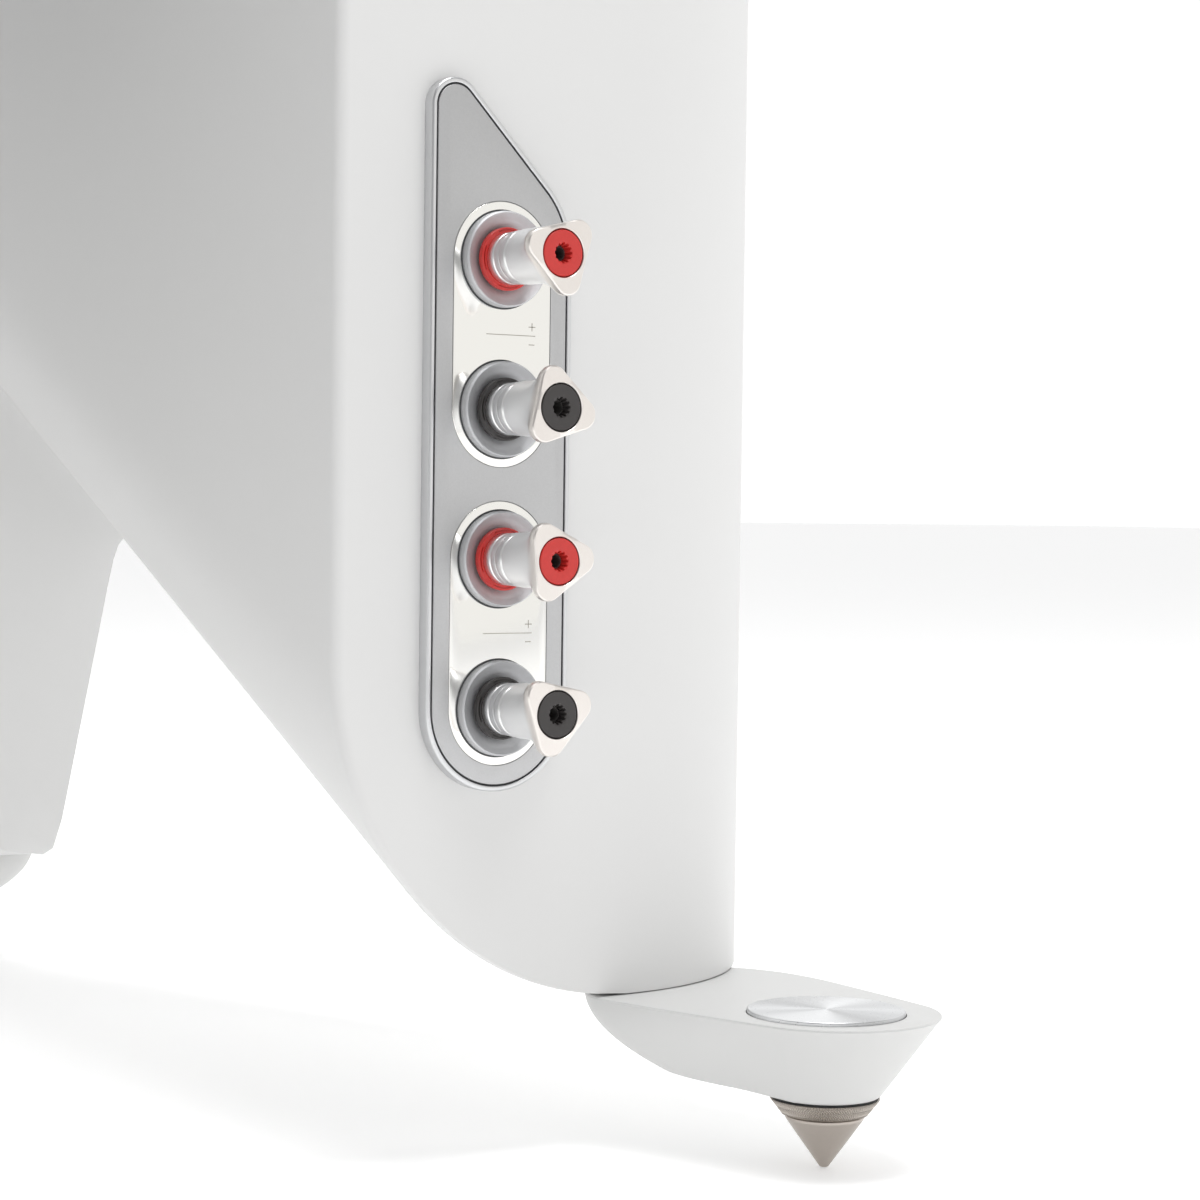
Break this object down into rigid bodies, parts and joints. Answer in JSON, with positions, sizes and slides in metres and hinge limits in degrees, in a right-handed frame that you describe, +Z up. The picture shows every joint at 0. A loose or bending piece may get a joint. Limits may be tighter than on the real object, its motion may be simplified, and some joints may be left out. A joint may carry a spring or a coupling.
{
  "type": "floorstanding speaker",
  "caption": "Floorstanding loudspeaker: two facing white cabinets joined by a driver pod, on outrigger spiked feet, with three-lobed binding posts on a metal plate at the rear.",
  "frame": {"origin": "on the floor, under the middle of the speaker", "axes": "+Z up, -Y towards the listener, +X to the right as seen by someone looking along +Y"},
  "size_m": [0.4912, 0.611, 1.3],
  "materials": {
    "white_lacquer": "satin white lacquer",
    "white_powder_coat": "fine satin white coating on cast aluminium",
    "black_metal": "satin black",
    "cone": "satin coated diaphragm",
    "spun_aluminium": "spun, fine turned rings",
    "warm_steel": "satin nickel plated, turned",
    "bright_aluminium": "bright satin",
    "satin_aluminium": "fine bead-blasted",
    "mirror_chrome": "polished",
    "pearl_nickel": "pearl nickel plating",
    "red_plastic": "satin moulded",
    "black_plastic": "satin moulded",
    "circuit_board": "board with coils"
  },
  "bodies": {
    "speaker": {"left_cabinet": "white_lacquer", "left_baffle_board": "white_lacquer", "left_lower_bass_chassis": "black_metal", "left_upper_bass_chassis": "black_metal", "left_rear_arm": "white_powder_coat", "left_rear_cap": "spun_aluminium", "left_front_arm": "white_powder_coat", "left_front_cap": "spun_aluminium", "right_cabinet": "white_lacquer", "right_baffle_board": "white_lacquer", "right_lower_bass_chassis": "black_metal", "right_upper_bass_chassis": "black_metal", "right_rear_arm": "white_powder_coat", "right_rear_cap": "spun_aluminium", "right_front_arm": "white_powder_coat", "right_front_cap": "spun_aluminium", "pod_housing": "white_lacquer", "upper_mid_chassis": "black_metal", "lower_mid_chassis": "black_metal", "tweeter_plate": "black_metal", "terminal_bezel": "bright_aluminium", "terminal_panel": "satin_aluminium", "low_inlay": "mirror_chrome", "high_inlay": "mirror_chrome", "post_1_collar": "black_plastic", "post_1_stem": "bright_aluminium", "post_2_collar": "red_plastic", "post_2_stem": "bright_aluminium", "post_3_collar": "black_plastic", "post_3_stem": "bright_aluminium", "post_4_collar": "red_plastic", "post_4_stem": "bright_aluminium", "crossover_board": "circuit_board"},
    "left_lower_bass_moving": {"left_lower_bass_cone": "cone"},
    "left_upper_bass_moving": {"left_upper_bass_cone": "cone"},
    "left_rear_ring_turn": {"left_rear_levelling_ring": "warm_steel"},
    "left_rear_spike_moving": {"left_rear_spike": "warm_steel"},
    "left_front_ring_turn": {"left_front_levelling_ring": "warm_steel"},
    "left_front_spike_moving": {"left_front_spike": "warm_steel"},
    "right_lower_bass_moving": {"right_lower_bass_cone": "cone"},
    "right_upper_bass_moving": {"right_upper_bass_cone": "cone"},
    "right_rear_ring_turn": {"right_rear_levelling_ring": "warm_steel"},
    "right_rear_spike_moving": {"right_rear_spike": "warm_steel"},
    "right_front_ring_turn": {"right_front_levelling_ring": "warm_steel"},
    "right_front_spike_moving": {"right_front_spike": "warm_steel"},
    "upper_mid_moving": {"upper_mid_cone": "cone"},
    "lower_mid_moving": {"lower_mid_cone": "cone"},
    "tweeter_moving": {"tweeter_dome": "cone"},
    "post_1_clamp": {"post_1_clamp_ring": "bright_aluminium"},
    "post_1_knob_turning": {"post_1_knob": "pearl_nickel", "post_1_socket": "black_plastic"},
    "post_2_clamp": {"post_2_clamp_ring": "bright_aluminium"},
    "post_2_knob_turning": {"post_2_knob": "pearl_nickel", "post_2_socket": "red_plastic"},
    "post_3_clamp": {"post_3_clamp_ring": "bright_aluminium"},
    "post_3_knob_turning": {"post_3_knob": "pearl_nickel", "post_3_socket": "black_plastic"},
    "post_4_clamp": {"post_4_clamp_ring": "bright_aluminium"},
    "post_4_knob_turning": {"post_4_knob": "pearl_nickel", "post_4_socket": "red_plastic"}
  },
  "joints": [
    {"name": "left_lower_bass_travel", "type": "slide", "parent": "speaker", "child": "left_lower_bass_moving", "axis": [1, 0, 0], "range_m": [-0.008, 0.008], "stiffness_N_per_m": 2500},
    {"name": "left_upper_bass_travel", "type": "slide", "parent": "speaker", "child": "left_upper_bass_moving", "axis": [1, 0, 0], "range_m": [-0.008, 0.008], "stiffness_N_per_m": 2500},
    {"name": "left_rear_ring_spin", "type": "hinge", "parent": "speaker", "child": "left_rear_ring_turn", "pos_m": [-0.1957, 0.2747, 0.017], "axis": [0, 0, 1], "range_deg": [0, 1925]},
    {"name": "left_rear_spike_travel", "type": "slide", "parent": "speaker", "child": "left_rear_spike_moving", "axis": [0, 0, -1], "range_m": [0, 0.008]},
    {"name": "left_front_ring_spin", "type": "hinge", "parent": "speaker", "child": "left_front_ring_turn", "pos_m": [-0.135, -0.2747, 0.017], "axis": [0, 0, 1], "range_deg": [0, 1925]},
    {"name": "left_front_spike_travel", "type": "slide", "parent": "speaker", "child": "left_front_spike_moving", "axis": [0, 0, -1], "range_m": [0, 0.008]},
    {"name": "right_lower_bass_travel", "type": "slide", "parent": "speaker", "child": "right_lower_bass_moving", "axis": [-1, 0, 0], "range_m": [-0.008, 0.008], "stiffness_N_per_m": 2500},
    {"name": "right_upper_bass_travel", "type": "slide", "parent": "speaker", "child": "right_upper_bass_moving", "axis": [-1, 0, 0], "range_m": [-0.008, 0.008], "stiffness_N_per_m": 2500},
    {"name": "right_rear_ring_spin", "type": "hinge", "parent": "speaker", "child": "right_rear_ring_turn", "pos_m": [0.1957, 0.2747, 0.017], "axis": [0, 0, 1], "range_deg": [0, 1925]},
    {"name": "right_rear_spike_travel", "type": "slide", "parent": "speaker", "child": "right_rear_spike_moving", "axis": [0, 0, -1], "range_m": [0, 0.008]},
    {"name": "right_front_ring_spin", "type": "hinge", "parent": "speaker", "child": "right_front_ring_turn", "pos_m": [0.135, -0.2747, 0.017], "axis": [0, 0, 1], "range_deg": [0, 1925]},
    {"name": "right_front_spike_travel", "type": "slide", "parent": "speaker", "child": "right_front_spike_moving", "axis": [0, 0, -1], "range_m": [0, 0.008]},
    {"name": "upper_mid_travel", "type": "slide", "parent": "speaker", "child": "upper_mid_moving", "axis": [0, -1, 0], "range_m": [-0.002, 0.002], "stiffness_N_per_m": 1500},
    {"name": "lower_mid_travel", "type": "slide", "parent": "speaker", "child": "lower_mid_moving", "axis": [0, -1, 0], "range_m": [-0.002, 0.002], "stiffness_N_per_m": 1500},
    {"name": "tweeter_travel", "type": "slide", "parent": "speaker", "child": "tweeter_moving", "axis": [0, -1, 0], "range_m": [-0.0004, 0.0004], "stiffness_N_per_m": 1500},
    {"name": "post_1_clamp_travel", "type": "slide", "parent": "speaker", "child": "post_1_clamp", "axis": [0, 1, 0], "range_m": [0, 0.0045]},
    {"name": "post_1_knob_spin", "type": "hinge", "parent": "post_1_clamp", "child": "post_1_knob_turning", "pos_m": [-0.116, 0.245, 0.13], "axis": [0, -1, 0], "range_deg": [0, 1625]},
    {"name": "post_2_clamp_travel", "type": "slide", "parent": "speaker", "child": "post_2_clamp", "axis": [0, 1, 0], "range_m": [0, 0.0045]},
    {"name": "post_2_knob_spin", "type": "hinge", "parent": "post_2_clamp", "child": "post_2_knob_turning", "pos_m": [-0.116, 0.245, 0.172], "axis": [0, -1, 0], "range_deg": [0, 1625]},
    {"name": "post_3_clamp_travel", "type": "slide", "parent": "speaker", "child": "post_3_clamp", "axis": [0, 1, 0], "range_m": [0, 0.0045]},
    {"name": "post_3_knob_spin", "type": "hinge", "parent": "post_3_clamp", "child": "post_3_knob_turning", "pos_m": [-0.116, 0.245, 0.214], "axis": [0, -1, 0], "range_deg": [0, 1625]},
    {"name": "post_4_clamp_travel", "type": "slide", "parent": "speaker", "child": "post_4_clamp", "axis": [0, 1, 0], "range_m": [0, 0.0045]},
    {"name": "post_4_knob_spin", "type": "hinge", "parent": "post_4_clamp", "child": "post_4_knob_turning", "pos_m": [-0.116, 0.245, 0.256], "axis": [0, -1, 0], "range_deg": [0, 1625]}
  ],
  "couplings": [
    {"joint": "left_rear_ring_spin", "follows": "left_rear_spike_travel", "rad_per_m": 4188.8},
    {"joint": "left_front_ring_spin", "follows": "left_front_spike_travel", "rad_per_m": 4188.8},
    {"joint": "right_rear_ring_spin", "follows": "right_rear_spike_travel", "rad_per_m": 4188.8},
    {"joint": "right_front_ring_spin", "follows": "right_front_spike_travel", "rad_per_m": 4188.8},
    {"joint": "post_1_knob_spin", "follows": "post_1_clamp_travel", "rad_per_m": 6283.2},
    {"joint": "post_2_knob_spin", "follows": "post_2_clamp_travel", "rad_per_m": 6283.2},
    {"joint": "post_3_knob_spin", "follows": "post_3_clamp_travel", "rad_per_m": 6283.2},
    {"joint": "post_4_knob_spin", "follows": "post_4_clamp_travel", "rad_per_m": 6283.2}
  ]
}
